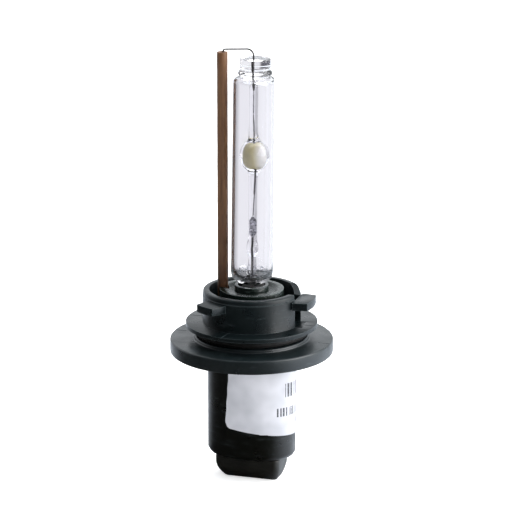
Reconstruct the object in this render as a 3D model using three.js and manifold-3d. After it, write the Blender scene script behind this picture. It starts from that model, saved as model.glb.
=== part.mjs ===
// High-intensity discharge headlight bulb: a quartz burner standing in a black moulded base.
// Millimetres. +Z runs up the bulb's axis, the origin is under the middle of the rear end, and
// +X points at the bayonet lug that bridges the slot in the collar. The return tube is on -X.
import * as THREE from 'three';
import { mergeVertices } from 'three/addons/utils/BufferGeometryUtils.js';
import Module from 'manifold-3d';

const wasm = await Module();
wasm.setup();

// ---- Driving dimensions --------------------------------------------------------------------
const BIG_SIDES = 64; // facets round the discs, collar and barrel
const GLASS_SIDES = 32; // facets round the quartz
const SMALL_SIDES = 16; // facets round tubes, crimps and bores
const WIRE_SIDES = 8;

const FIT_GAP = 0.3; // clearance between moulded neighbours
const FINE_GAP = 0.12; // clearance inside the fused burner

// Heights are counted from a datum in front of the rear end; the finished bulb is lifted by this
const REAR_END_BELOW_DATUM = 0.9;

// Base, from the barrel's foot up
const BARREL_FOOT_Z = 4.4;
const BARREL_CHAMFER = { high: 1.1, inward: 1.2 };
const BARREL_HALF = { x: 10.15, y: 6.9 };
const BARREL_WALL = 1.5;
const BARREL_FLOOR_Z = 6.9;
const FLANGE = { radius: 18.3, bottom: 28.55, top: 31.7, edge: 0.3 };
const LAND = { radius: 15.2, drop: 0.25 };
const PLINTH = { radius: 12.9, top: 32.55, edge: 0.2 };
const RECESS_RADIUS = 8.6;

const CORE_RADIUS = 11;
const DISC = { radius: 14.75, bottom: 34.65, top: 35.55 };
const COLLAR = { outer: 11, inner: 9.5, rim: 43, band: 1.1, bandStep: 0.15 };
const SLOT_HALF_ANGLE = 13; // degrees each side of +X
const LUG = { bottom: 39.9, top: 41.6, outer: 14.4 };
const SLOT_LUG = { angle: 0, halfTip: 3.48, halfRoot: 4.2 };
const SIDE_LUGS = [120, -120].map((angle) => ({ angle, halfTip: 2.45, halfRoot: 2.95 }));
const RIM_RAMP = { from: 13, to: 37, drop: 1.2 };
const RIBS = [{ angle: -90, width: 1.8 }, { angle: 90, width: 1.8 }, { angle: -40, width: 0.8 }];
const RIB_TOP = 42.2;

const HOLDER = { radius: 7.18, bottom: DISC.top + FIT_GAP, top: 43.15, bandInner: 5.8, dish: 42.3 };
const HOLDER_BOSS = { radius: 3.75, top: 44, bore: 3.1 };
const HOLDER_PLUG = { radius: 4.2, bottom: 33.5 };
const WIRE_BORE = 0.8;

// Burner: it stands slightly off the axis and leans a little towards +X
const BURNER_FOOT_Z = 44;
const BURNER_SHIFT = { x: 0.38, y: 0.12 };
const BURNER_LEAN = THREE.MathUtils.degToRad(0.5);
const TUBE_RADIUS = 4.55;
const TUBE_INNER = 3.95;
const LEG_RADIUS = 1.05;
const LEG_BOTTOM = 40.5;
const LEG_TOP = 90.4;
const ARC = { centre: 73.55, radius: 3.3, halfHeight: 3.6, chamberRadius: 1.85, chamberHalf: 2.4 };
const FOIL = { width: 1.3, thick: 0.1, lower: [54.9, 59.7], upper: [83, 88] };
const UPPER_FOIL_TURN = -70; // degrees about the axis
const ELECTRODE_RADIUS = 0.15;
const LEAD_RADIUS = 0.19;
const UPPER_LEAD_RADIUS = 0.22;

// Return side
const RETURN_X = -6.7;
const RETURN_TUBE = { radius: 1.125, bore: 0.5, bottom: 29.5, top: 96.3 };
const RETURN_HOLE = 1.4;
const WIRE_OVER = { x: RETURN_X + 0.2, z: 96.95, bend: 0.5 }; // where the wire leaves the tube
const WIRE_DOWN = { z: 97.25, bend: 1.4 }; // where it turns down to the burner
const CRIMP = { outer: 1.1, waist: 0.9, bore: 0.45, bottom: 17.5, top: 23.5 };
const CRIMP_SEAT_Z = 19; // where the wires end inside the crimps

// Rear end
const GLAND = { halfX: 7.5, halfY: 4.4, corner: 1.5, shoulder: 2.7 };
const GLAND_WAIST = { z: 0.9, halfX: 7.1, halfY: 3.8, shift: 0.2 };
const GLAND_FOOT = { z: -REAR_END_BELOW_DATUM, halfX: 6.1, halfY: 2.6, shift: 0.5 };
const GLAND_SPIGOT = { halfX: 5, halfY: 3, corner: 1, top: 8.6 };
const OUTLET = { x: 2.8, radius: 1.05 };
const POTTING = { bottom: 9.6, top: 28.3 };

// ---- Geometry helpers ----------------------------------------------------------------------
const degrees = THREE.MathUtils.degToRad;

function signedVolume(geometry) {
  const corner = [new THREE.Vector3(), new THREE.Vector3(), new THREE.Vector3()];
  const { position } = geometry.attributes;
  let sum = 0;
  for (let i = 0; i < geometry.index.count; i += 3) {
    corner.forEach((v, k) => v.fromBufferAttribute(position, geometry.index.getX(i + k)));
    sum += corner[0].dot(corner[1].clone().cross(corner[2])) / 6;
  }
  return sum;
}

// One closed skin with shared corners and outward faces
function closed(geometry) {
  geometry.deleteAttribute('normal');
  geometry.deleteAttribute('uv');
  const skin = mergeVertices(geometry, 1e-4);
  const kept = [];
  for (let i = 0; i < skin.index.count; i += 3) {
    const face = [0, 1, 2].map((k) => skin.index.getX(i + k));
    if (new Set(face).size === 3) kept.push(...face);
  }
  skin.setIndex(kept);
  if (signedVolume(skin) < 0) skin.setIndex(kept.reverse());
  return skin;
}

function solid(geometry) {
  const skin = closed(geometry);
  const vertProperties = new Float32Array(skin.attributes.position.array);
  const triVerts = Uint32Array.from(skin.index.array);
  return new wasm.Manifold(new wasm.Mesh({ numProp: 3, vertProperties, triVerts }));
}

function surface(body) {
  const mesh = body.getMesh();
  const geometry = new THREE.BufferGeometry();
  const position = new Float32Array(mesh.vertProperties);
  geometry.setAttribute('position', new THREE.BufferAttribute(position, 3));
  geometry.setIndex(Array.from(mesh.triVerts));
  return geometry;
}

// An outline of [radius, height] points turned about Z; it starts and ends on the axis
function turned(outline, sides) {
  const points = outline.map(([radius, height]) => new THREE.Vector2(radius, height));
  return new THREE.LatheGeometry(points, sides).rotateX(Math.PI / 2);
}

// The same for an outline that closes on itself, so the solid has a hole along the axis
function turnedRing(outline, sides) {
  return turned([...outline, outline[0]], sides);
}

function rod(radius, bottom, top, sides = SMALL_SIDES) {
  return turned([[0, bottom], [radius, bottom], [radius, top], [0, top]], sides);
}

function ovalRod(halfX, halfY, bottom, top) {
  return rod(halfX, bottom, top, BIG_SIDES).scale(1, halfY / halfX, 1);
}

function extruded(shape, bottom, top, curveSegments = 6) {
  const options = { depth: top - bottom, bevelEnabled: false, curveSegments };
  return new THREE.ExtrudeGeometry(shape, options).translate(0, 0, bottom);
}

function roundedRectangle(halfX, halfY, corner) {
  const shape = new THREE.Shape();
  shape.moveTo(-halfX + corner, -halfY);
  shape.lineTo(halfX - corner, -halfY);
  shape.absarc(halfX - corner, -halfY + corner, corner, -Math.PI / 2, 0);
  shape.lineTo(halfX, halfY - corner);
  shape.absarc(halfX - corner, halfY - corner, corner, 0, Math.PI / 2);
  shape.lineTo(-halfX + corner, halfY);
  shape.absarc(-halfX + corner, halfY - corner, corner, Math.PI / 2, Math.PI);
  shape.lineTo(-halfX, -halfY + corner);
  shape.absarc(-halfX + corner, -halfY + corner, corner, Math.PI, Math.PI * 1.5);
  return shape;
}

// Part of an ellipse in the [radius, height] plane, as points of an outline
function ellipseArc(centre, radius, halfHeight, edgeRadius, steps) {
  const limit = Math.acos(edgeRadius / radius);
  return Array.from({ length: steps + 1 }, (_, i) => {
    const angle = -limit + (2 * limit * i) / steps;
    return [radius * Math.cos(angle), centre + halfHeight * Math.sin(angle)];
  });
}

// A wire's route: its stations are exact, and lie close together only in the bends
class WireRoute extends THREE.Curve {
  constructor(stations) {
    super();
    this.stations = stations;
  }

  getPoint(t) {
    const place = t * (this.stations.length - 1);
    const from = Math.min(Math.floor(place), this.stations.length - 2);
    return this.stations[from].clone().lerp(this.stations[from + 1], place - from);
  }

  getPointAt(t) {
    return this.getPoint(t);
  }

  getTangentAt(t) {
    return this.getTangent(t);
  }
}

function wire(radius, stations) {
  const section = new THREE.Shape();
  for (let i = 0; i < WIRE_SIDES; i += 1) {
    const angle = (2 * Math.PI * i) / WIRE_SIDES;
    const point = [radius * Math.cos(angle), radius * Math.sin(angle)];
    if (i === 0) section.moveTo(...point);
    else section.lineTo(...point);
  }
  section.closePath();
  const options = { steps: stations.length - 1, extrudePath: new WireRoute(stations) };
  return new THREE.ExtrudeGeometry(section, options);
}

// A point on the leaning burner's axis, in the bulb's own frame
function onBurner(z) {
  const height = z - BURNER_FOOT_Z;
  const x = BURNER_SHIFT.x + height * Math.sin(BURNER_LEAN);
  return new THREE.Vector3(x, BURNER_SHIFT.y, BURNER_FOOT_Z + height * Math.cos(BURNER_LEAN));
}

// ---- Scene graph ---------------------------------------------------------------------------
const bulb = new THREE.Group();
const burner = new THREE.Group();
burner.position.set(BURNER_SHIFT.x, BURNER_SHIFT.y, BURNER_FOOT_Z);
burner.rotation.y = BURNER_LEAN;
bulb.add(burner);

function material(color, roughness, metalness = 0, opacity = 1) {
  const transparent = opacity < 1;
  return new THREE.MeshStandardMaterial({ color, roughness, metalness, opacity, transparent });
}

const blackPlastic = material(0x1b1f21, 0.5);
const quartz = material(0xe6e4f0, 0.05, 0, 0.35);
const tungsten = material(0x4d4b4c, 0.4, 0.9);
const molybdenum = material(0x8c8a88, 0.35, 0.9);

function addPart(group, name, geometry, look) {
  const mesh = new THREE.Mesh(closed(geometry), look);
  mesh.name = name;
  group.add(mesh);
}

// Pieces of the burner are drawn at their height in the bulb, then moved to its own group
function addBurnerPart(name, geometry, look) {
  addPart(burner, name, geometry.translate(0, 0, -BURNER_FOOT_Z), look);
}

// ---- Rear housing: oval barrel and big flange in one moulding, open at both ends -------------
function rearHousing() {
  const flange = turned([
    [0, FLANGE.bottom],
    [FLANGE.radius - FLANGE.edge, FLANGE.bottom],
    [FLANGE.radius, FLANGE.bottom + FLANGE.edge],
    [FLANGE.radius, FLANGE.top - FLANGE.edge],
    [FLANGE.radius - FLANGE.edge, FLANGE.top],
    [LAND.radius, FLANGE.top],
    [LAND.radius, FLANGE.top - LAND.drop],
    [PLINTH.radius, FLANGE.top - LAND.drop],
    [PLINTH.radius, PLINTH.top - PLINTH.edge],
    [PLINTH.radius - PLINTH.edge, PLINTH.top],
    [0, PLINTH.top],
  ], BIG_SIDES);
  const { high, inward } = BARREL_CHAMFER;
  const barrel = turned([
    [0, BARREL_FOOT_Z],
    [BARREL_HALF.x - inward, BARREL_FOOT_Z],
    [BARREL_HALF.x - inward * 0.3, BARREL_FOOT_Z + high * 0.45],
    [BARREL_HALF.x, BARREL_FOOT_Z + high],
    [BARREL_HALF.x, FLANGE.bottom + FLANGE.edge],
    [0, FLANGE.bottom + FLANGE.edge],
  ], BIG_SIDES).scale(1, BARREL_HALF.y / BARREL_HALF.x, 1);
  const cavity = ovalRod(
    BARREL_HALF.x - BARREL_WALL,
    BARREL_HALF.y - BARREL_WALL,
    BARREL_FLOOR_Z,
    FLANGE.bottom + 1,
  );
  const recess = rod(RECESS_RADIUS, FLANGE.bottom + 0.05, PLINTH.top + 1, BIG_SIDES);
  const inlet = extruded(
    roundedRectangle(
      GLAND_SPIGOT.halfX + FIT_GAP,
      GLAND_SPIGOT.halfY + FIT_GAP,
      GLAND_SPIGOT.corner + FIT_GAP,
    ),
    BARREL_FOOT_Z - 1,
    BARREL_FLOOR_Z + 1,
  );
  return surface(
    solid(flange).add(solid(barrel)).subtract(solid(cavity)).subtract(solid(recess))
      .subtract(solid(inlet)),
  );
}
addPart(bulb, 'rear_housing', rearHousing(), blackPlastic);

// ---- Cable gland: the tapered plug under the barrel, with two wire outlets -------------------
// A stretch of the plug whose outline narrows from the upper section to the lower one
function glandStretch(upper, lower) {
  const outline = roundedRectangle(GLAND.halfX, GLAND.halfY, GLAND.corner);
  const stretch = extruded(outline, lower.z, upper.z);
  const { position } = stretch.attributes;
  for (let i = 0; i < position.count; i += 1) {
    const section = position.getZ(i) > (upper.z + lower.z) / 2 ? upper : lower;
    position.setX(i, (position.getX(i) * section.halfX) / GLAND.halfX + section.shift);
    position.setY(i, (position.getY(i) * section.halfY) / GLAND.halfY);
  }
  return stretch;
}

function cableGland() {
  const top = { ...GLAND, z: BARREL_FOOT_Z - 0.1, shift: 0 };
  const shoulder = { ...GLAND, z: GLAND.shoulder, shift: 0 };
  const { halfX, halfY, corner } = GLAND_SPIGOT;
  const spigot = extruded(roundedRectangle(halfX, halfY, corner), GLAND.shoulder, GLAND_SPIGOT.top);
  let plug = solid(glandStretch(top, shoulder))
    .add(solid(glandStretch(shoulder, GLAND_WAIST)))
    .add(solid(glandStretch(GLAND_WAIST, GLAND_FOOT)))
    .add(solid(spigot));
  for (const x of [-OUTLET.x, OUTLET.x]) {
    const outlet = rod(OUTLET.radius, GLAND_FOOT.z - 1, GLAND_SPIGOT.top + 1).translate(x, 0, 0);
    plug = plug.subtract(solid(outlet));
  }
  return surface(plug);
}
addPart(bulb, 'cable_gland', cableGland(), material(0x141516, 0.6));

// ---- Label: a thin wrap on the front and right of the barrel ---------------------------------
const LABEL = {
  lift: 0.06,
  thick: 0.12,
  top: FLANGE.bottom - 0.25,
  leftTop: -3.1,
  leftBottom: -4.3,
  bottomLeft: 12.2,
  bottomRight: 10.2,
  corner: 2,
  backEdge: 3.5,
};

function housingLabel() {
  const grown = (by) => ovalRod(BARREL_HALF.x + by, BARREL_HALF.y + by, 5, LABEL.top);
  const wrap = solid(grown(LABEL.lift + LABEL.thick)).subtract(
    solid(ovalRod(BARREL_HALF.x + LABEL.lift, BARREL_HALF.y + LABEL.lift, 4, LABEL.top + 1)),
  );
  const reach = BARREL_HALF.x + 2;
  const outline = new THREE.Shape();
  outline.moveTo(LABEL.leftTop, LABEL.top + 1);
  outline.lineTo(LABEL.leftBottom, LABEL.bottomLeft + LABEL.corner);
  outline.quadraticCurveTo(
    LABEL.leftBottom - 0.1,
    LABEL.bottomLeft,
    LABEL.leftBottom + LABEL.corner,
    LABEL.bottomLeft - 0.4,
  );
  outline.lineTo(reach, LABEL.bottomRight);
  outline.lineTo(reach, LABEL.top + 1);
  outline.closePath();
  const back = new THREE.Shape();
  back.moveTo(LABEL.backEdge, LABEL.top + 1);
  back.lineTo(LABEL.backEdge, LABEL.bottomRight);
  back.lineTo(reach, LABEL.bottomRight);
  back.lineTo(reach, LABEL.top + 1);
  back.closePath();
  // Drawn in X and Z, and extruded along Y: the front sheet from -Y, the back one behind it
  const upright = (shape, fromY, toY) => extruded(shape, -toY, -fromY).rotateX(Math.PI / 2);
  const front = solid(upright(outline, -BARREL_HALF.y - 2, 0.01));
  const behind = solid(upright(back, 0, BARREL_HALF.y + 2));
  return surface(wrap.intersect(front.add(behind)));
}
addPart(bulb, 'housing_label', housingLabel(), material(0xecebf0, 0.45));

// ---- Front collar: spigot, ring groove, upper disc, collar wall, lugs and inner ribs ----------
function plate(points, bottom, top) {
  const shape = new THREE.Shape(points.map(([x, y]) => new THREE.Vector2(x, y)));
  return extruded(shape, bottom, top);
}

function polar(radius, angle) {
  return [radius * Math.cos(degrees(angle)), radius * Math.sin(degrees(angle))];
}

function arcPoints(radius, from, to, steps) {
  return Array.from({ length: steps + 1 }, (_, i) => polar(radius, from + ((to - from) * i) / steps));
}

// A lug in plan, pointing along +X; the one over the slot stops at the collar's outside there
function lug({ angle, halfTip, halfRoot }) {
  const rootAngle = THREE.MathUtils.radToDeg(Math.asin(halfRoot / COLLAR.outer));
  const tipAngle = THREE.MathUtils.radToDeg(Math.asin(halfTip / LUG.outer));
  const seated = COLLAR.outer - 0.4;
  const clear = SLOT_HALF_ANGLE + 0.5;
  const inner = angle === SLOT_LUG.angle
    ? [
      ...arcPoints(seated, rootAngle, clear, 2),
      ...arcPoints(COLLAR.outer + 0.05, clear, -clear, 4),
      ...arcPoints(seated, -clear, -rootAngle, 2),
    ]
    : arcPoints(seated, rootAngle, -rootAngle, 6);
  const outer = arcPoints(LUG.outer, -tipAngle, tipAngle, 6);
  return plate([...inner, ...outer], LUG.bottom, LUG.top).rotateZ(degrees(angle));
}

function frontCollar() {
  const coreBottom = PLINTH.top + FIT_GAP;
  const spigotBottom = FLANGE.bottom + 0.35;
  const wall = turnedRing([
    [WIRE_BORE, spigotBottom],
    [RECESS_RADIUS - FIT_GAP, spigotBottom],
    [RECESS_RADIUS - FIT_GAP, coreBottom],
    [CORE_RADIUS, coreBottom],
    [CORE_RADIUS, DISC.bottom],
    [DISC.radius, DISC.bottom],
    [DISC.radius, DISC.top],
    [COLLAR.outer, DISC.top],
    [COLLAR.outer, COLLAR.rim - COLLAR.band],
    [COLLAR.outer - COLLAR.bandStep, COLLAR.rim - COLLAR.band + 0.1],
    [COLLAR.outer - COLLAR.bandStep, COLLAR.rim - 0.15],
    [COLLAR.outer - COLLAR.bandStep - 0.15, COLLAR.rim],
    [COLLAR.inner, COLLAR.rim],
    [COLLAR.inner, DISC.top],
    [HOLDER_PLUG.radius + FIT_GAP, DISC.top],
    [HOLDER_PLUG.radius + FIT_GAP, HOLDER_PLUG.bottom - FIT_GAP],
    [WIRE_BORE, HOLDER_PLUG.bottom - FIT_GAP],
  ], BIG_SIDES);

  const slotDepth = 0.1;
  const slot = plate([
    ...arcPoints(COLLAR.inner - 1, -SLOT_HALF_ANGLE, SLOT_HALF_ANGLE, 2),
    ...arcPoints(COLLAR.outer + 1, SLOT_HALF_ANGLE, -SLOT_HALF_ANGLE, 2),
  ], DISC.top - slotDepth, COLLAR.rim + 1);

  let body = solid(wall).subtract(solid(slot));
  for (const each of [SLOT_LUG, ...SIDE_LUGS]) body = body.add(solid(lug(each)));

  for (const { angle, width } of RIBS) {
    const from = HOLDER.radius + FIT_GAP;
    const to = COLLAR.inner + 0.4;
    const rib = new THREE.BoxGeometry(to - from, width, RIB_TOP - DISC.top + 0.2)
      .translate((from + to) / 2, 0, (RIB_TOP + DISC.top - 0.2) / 2)
      .rotateZ(degrees(angle));
    body = body.add(solid(rib));
  }

  // The rim's sloping stretch beside the slot
  const rampAngle = (RIM_RAMP.from + RIM_RAMP.to) / 2;
  const rampLength = COLLAR.outer * degrees(RIM_RAMP.to - RIM_RAMP.from) + 0.3;
  const ramp = new THREE.Shape();
  ramp.moveTo(-rampLength / 2, -RIM_RAMP.drop);
  ramp.lineTo(rampLength / 2, 0);
  ramp.lineTo(rampLength / 2, 1);
  ramp.lineTo(-rampLength / 2, 1);
  ramp.closePath();
  const rampCut = extruded(ramp, COLLAR.inner - 0.8, COLLAR.outer + 0.8)
    .rotateX(Math.PI / 2)
    .rotateZ(Math.PI / 2)
    .rotateZ(degrees(rampAngle))
    .translate(0, 0, COLLAR.rim);
  body = body.subtract(solid(rampCut));

  const returnHole = rod(RETURN_HOLE, spigotBottom - 1, DISC.top + 1);
  const cementSeat = rod(RETURN_HOLE + 0.5, DISC.top - 2, DISC.top + 1);
  for (const hole of [returnHole, cementSeat]) {
    body = body.subtract(solid(hole.translate(RETURN_X, 0, 0)));
  }
  return surface(body);
}
addPart(bulb, 'front_collar', frontCollar(), blackPlastic);

// ---- Rubber ring in the groove under the upper disc ------------------------------------------
const O_RING = { centreRadius: 12.05, section: 0.93, around: 48, across: 8 };

function sealingRing() {
  const { centreRadius, section, around, across } = O_RING;
  const middle = (PLINTH.top + DISC.bottom) / 2;
  const ring = new THREE.TorusGeometry(centreRadius, section, across, around);
  return ring.translate(0, 0, middle);
}
addPart(bulb, 'sealing_o_ring', sealingRing(), material(0x1c1a18, 0.55));

// ---- Burner holder: dished ring with a boss that carries the burner --------------------------
function burnerHolder() {
  const ring = turnedRing([
    [WIRE_BORE, HOLDER_PLUG.bottom],
    [HOLDER_PLUG.radius, HOLDER_PLUG.bottom],
    [HOLDER_PLUG.radius, HOLDER.bottom],
    [HOLDER.radius, HOLDER.bottom],
    [HOLDER.radius, HOLDER.top - 0.2],
    [HOLDER.radius - 0.2, HOLDER.top],
    [HOLDER.bandInner + 0.15, HOLDER.top],
    [HOLDER.bandInner, HOLDER.top - 0.2],
    [HOLDER.bandInner - 0.3, HOLDER.dish + 0.2],
    [HOLDER_BOSS.radius + 0.4, HOLDER.dish],
    [HOLDER_BOSS.radius, HOLDER.dish + 0.5],
    [HOLDER_BOSS.radius, HOLDER_BOSS.top - 0.3],
    [HOLDER_BOSS.radius - 0.3, HOLDER_BOSS.top],
    [HOLDER_BOSS.bore, HOLDER_BOSS.top],
    [HOLDER_BOSS.bore, LEG_BOTTOM - FIT_GAP],
    [WIRE_BORE, LEG_BOTTOM - FIT_GAP],
  ], 48);
  const notch = rod(RETURN_TUBE.radius + FIT_GAP, HOLDER.bottom - 1, HOLDER.top + 1);
  return surface(solid(ring).subtract(solid(notch.translate(RETURN_X, 0, 0))));
}
addPart(bulb, 'burner_holder', burnerHolder(), material(0x3c4340, 0.4));

// ---- Cement: round the burner's leg, and round the foot of the return tube -------------------
const cementLook = material(0x8f8a80, 0.9);
const burnerCement = turnedRing([
  [LEG_RADIUS + FINE_GAP, LEG_BOTTOM + 0.4],
  [2.55, LEG_BOTTOM + 0.4],
  [2.55, HOLDER_BOSS.top - 0.4],
  [2.2, HOLDER_BOSS.top - 0.1],
  [LEG_RADIUS + FINE_GAP, HOLDER_BOSS.top - 0.1],
], 24);
addBurnerPart('burner_cement', burnerCement, cementLook);

const tubeCement = turnedRing([
  [RETURN_TUBE.radius + FINE_GAP, DISC.top - 1.9],
  [RETURN_HOLE + 0.35, DISC.top - 1.9],
  [RETURN_HOLE + 0.35, DISC.top - 0.2],
  [RETURN_TUBE.radius + FINE_GAP, DISC.top + 0.1],
], SMALL_SIDES).translate(RETURN_X, 0, 0);
addPart(bulb, 'return_tube_cement', tubeCement, cementLook);

// ---- Outer envelope: quartz tube with a rounded foot, shoulder, neck and flat button ----------
function outerEnvelope() {
  const legHole = LEG_RADIUS + 2 * FINE_GAP;
  const leadHole = UPPER_LEAD_RADIUS + FINE_GAP;
  return turnedRing([
    [legHole, 44.6],
    [2.4, 44.7],
    [3.5, 45.1],
    [4.2, 45.6],
    [4.6, 46.4],
    [4.5, 47.7],
    [TUBE_RADIUS, 48.8],
    [TUBE_RADIUS, 89.8],
    [4.35, 90.6],
    [3.7, 91.05],
    [2.95, 91.25],
    [3.55, 91.6],
    [3.8, 92.1],
    [3.6, 92.6],
    [3.35, 92.95],
    [3.45, 93.4],
    [3.45, 94.8],
    [3.2, 95.2],
    [2.6, 95.3],
    [leadHole, 95.3],
    [leadHole, LEG_TOP + 0.25],
    [legHole, LEG_TOP + 0.15],
    [legHole, 90.0],
    [3.2, 89.8],
    [TUBE_INNER, 89],
    [TUBE_INNER, 48.2],
    [3.6, 47.1],
    [2.6, 46.2],
    [legHole, 45.9],
  ], GLASS_SIDES);
}
addBurnerPart('outer_quartz_envelope', outerEnvelope(), quartz);

// ---- Arc tube: two quartz legs and the bulb between them, bored for electrodes and foils ------
function arcTube() {
  const bore = ELECTRODE_RADIUS + FINE_GAP + 0.04;
  const foilBore = FOIL.width / 2 + FINE_GAP;
  const leadBore = UPPER_LEAD_RADIUS + FINE_GAP;
  const { centre, radius, halfHeight, chamberRadius, chamberHalf } = ARC;
  return turnedRing([
    [bore, LEG_BOTTOM],
    [LEG_RADIUS, LEG_BOTTOM],
    ...ellipseArc(centre, radius, halfHeight, LEG_RADIUS, 10),
    [LEG_RADIUS, LEG_TOP],
    [leadBore, LEG_TOP],
    [leadBore, FOIL.upper[1] + 0.1],
    [foilBore, FOIL.upper[1] + 0.1],
    [foilBore, FOIL.upper[0] - 0.1],
    [bore, FOIL.upper[0] - 0.1],
    ...ellipseArc(centre, chamberRadius, chamberHalf, bore, 10).reverse(),
    [bore, FOIL.lower[1] + 0.1],
    [foilBore, FOIL.lower[1] + 0.1],
    [foilBore, FOIL.lower[0] - 0.1],
    [bore, FOIL.lower[0] - 0.1],
  ], 24);
}
addBurnerPart('arc_tube', arcTube(), quartz);

// ---- Tungsten electrodes, molybdenum foils, salts and leads ----------------------------------
const ARC_GAP = 4.2; // between the electrode tips

function electrode(foilEnd, tip) {
  const neck = tip + Math.sign(foilEnd - tip) * 0.8;
  const head = ELECTRODE_RADIUS + 0.08;
  const outline = [
    [0, foilEnd],
    [ELECTRODE_RADIUS, foilEnd],
    [ELECTRODE_RADIUS, neck],
    [head, neck],
    [head * 0.9, tip],
    [0, tip],
  ];
  return turned(outline, 12);
}
const lowerTip = ARC.centre - ARC_GAP / 2;
const upperTip = ARC.centre + ARC_GAP / 2;
addBurnerPart('lower_electrode', electrode(FOIL.lower[1] + 0.15, lowerTip), tungsten);
addBurnerPart('upper_electrode', electrode(FOIL.upper[0] - 0.15, upperTip), tungsten);

function foil([bottom, top]) {
  const half = FOIL.width / 2;
  const strip = new THREE.Shape();
  strip.moveTo(-half * 0.6, bottom);
  strip.lineTo(half * 0.6, bottom);
  strip.lineTo(half, bottom + 0.6);
  strip.lineTo(half, top - 0.6);
  strip.lineTo(half * 0.6, top);
  strip.lineTo(-half * 0.6, top);
  strip.lineTo(-half, top - 0.6);
  strip.lineTo(-half, bottom + 0.6);
  strip.closePath();
  return extruded(strip, -FOIL.thick / 2, FOIL.thick / 2).rotateX(Math.PI / 2);
}
addBurnerPart('lower_foil', foil(FOIL.lower), molybdenum);
addBurnerPart('upper_foil', foil(FOIL.upper).rotateZ(degrees(UPPER_FOIL_TURN)), molybdenum);

// The salts lie as a milky film all over the chamber's wall
const FILM = { outer: 1.73, outerHalf: 2.24, inner: 1.57, innerHalf: 2.02, mouth: 0.5 };
const salts = turnedRing([
  ...ellipseArc(ARC.centre, FILM.outer, FILM.outerHalf, FILM.mouth, 10),
  ...ellipseArc(ARC.centre, FILM.inner, FILM.innerHalf, FILM.mouth, 10).reverse(),
], 24);
addBurnerPart('halide_salts', salts, material(0xa7a58c, 0.6));

const upperLead = rod(UPPER_LEAD_RADIUS, FOIL.upper[1] + 0.25, 96, 12);
addBurnerPart('upper_lead_wire', upperLead, molybdenum);

const lowerLead = wire(LEAD_RADIUS, [
  onBurner(FOIL.lower[0] - 0.15),
  onBurner(LEG_BOTTOM - 0.5),
  new THREE.Vector3(0, 0, HOLDER_PLUG.bottom),
  new THREE.Vector3(0, 0, CRIMP_SEAT_Z),
]);
addPart(bulb, 'lower_lead_wire', lowerLead, molybdenum);

// ---- Return side: wire over the top and down the ceramic tube --------------------------------
function quarterBend(centre, radius, from, to) {
  const steps = 6;
  return Array.from({ length: steps + 1 }, (_, i) => {
    const angle = from + ((to - from) * i) / steps;
    const spoke = new THREE.Vector3(Math.cos(angle), 0, Math.sin(angle));
    return centre.clone().addScaledVector(spoke, radius);
  });
}

function returnWire() {
  const end = onBurner(96.1);
  const right = new THREE.Vector3(end.x - WIRE_DOWN.bend, end.y, WIRE_DOWN.z - WIRE_DOWN.bend);
  const left = new THREE.Vector3(WIRE_OVER.x + WIRE_OVER.bend, 0, WIRE_OVER.z - WIRE_OVER.bend);
  return wire(LEAD_RADIUS, [
    end,
    ...quarterBend(right, WIRE_DOWN.bend, 0, Math.PI / 2),
    ...quarterBend(left, WIRE_OVER.bend, Math.PI / 2, Math.PI),
    new THREE.Vector3(WIRE_OVER.x, 0, RETURN_TUBE.top - 2),
    new THREE.Vector3(RETURN_X, 0, RETURN_TUBE.bottom + 5),
    new THREE.Vector3(RETURN_X, 0, CRIMP_SEAT_Z),
  ]);
}
addPart(bulb, 'return_wire', returnWire(), molybdenum);

const ceramicTube = turnedRing([
  [RETURN_TUBE.bore, RETURN_TUBE.bottom],
  [RETURN_TUBE.radius, RETURN_TUBE.bottom],
  [RETURN_TUBE.radius, RETURN_TUBE.top],
  [RETURN_TUBE.bore, RETURN_TUBE.top],
], SMALL_SIDES).translate(RETURN_X, 0, 0);
addPart(bulb, 'ceramic_return_tube', ceramicTube, material(0x7d6450, 0.65));

// ---- Crimps and potting inside the barrel ----------------------------------------------------
function crimp(x) {
  const third = (CRIMP.top - CRIMP.bottom) / 3;
  return turnedRing([
    [CRIMP.bore, CRIMP.bottom],
    [CRIMP.outer, CRIMP.bottom],
    [CRIMP.waist, CRIMP.bottom + third],
    [CRIMP.waist, CRIMP.top - third],
    [CRIMP.outer, CRIMP.top],
    [CRIMP.bore, CRIMP.top],
  ], SMALL_SIDES).translate(x, 0, 0);
}
const tinnedBrass = material(0xc9b27a, 0.35, 0.9);
addPart(bulb, 'lamp_crimp', crimp(0), tinnedBrass);
addPart(bulb, 'return_crimp', crimp(RETURN_X), tinnedBrass);

function pottingBlock() {
  const half = { x: BARREL_HALF.x - BARREL_WALL, y: BARREL_HALF.y - BARREL_WALL };
  let block = solid(ovalRod(half.x - FIT_GAP, half.y - FIT_GAP, POTTING.bottom, POTTING.top));
  for (const x of [0, RETURN_X]) {
    const crimpHole = rod(CRIMP.outer + 0.15, POTTING.bottom - 1, CRIMP.top + FIT_GAP);
    const wireHole = rod(LEAD_RADIUS + FIT_GAP, CRIMP.top, POTTING.top + 1);
    for (const hole of [crimpHole, wireHole]) {
      block = block.subtract(solid(hole.translate(x, 0, 0)));
    }
  }
  return surface(block);
}
addPart(bulb, 'insulating_potting', pottingBlock(), material(0x6f6a60, 0.8));

bulb.position.z = REAR_END_BELOW_DATUM;

export default bulb;
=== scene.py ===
import math

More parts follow.
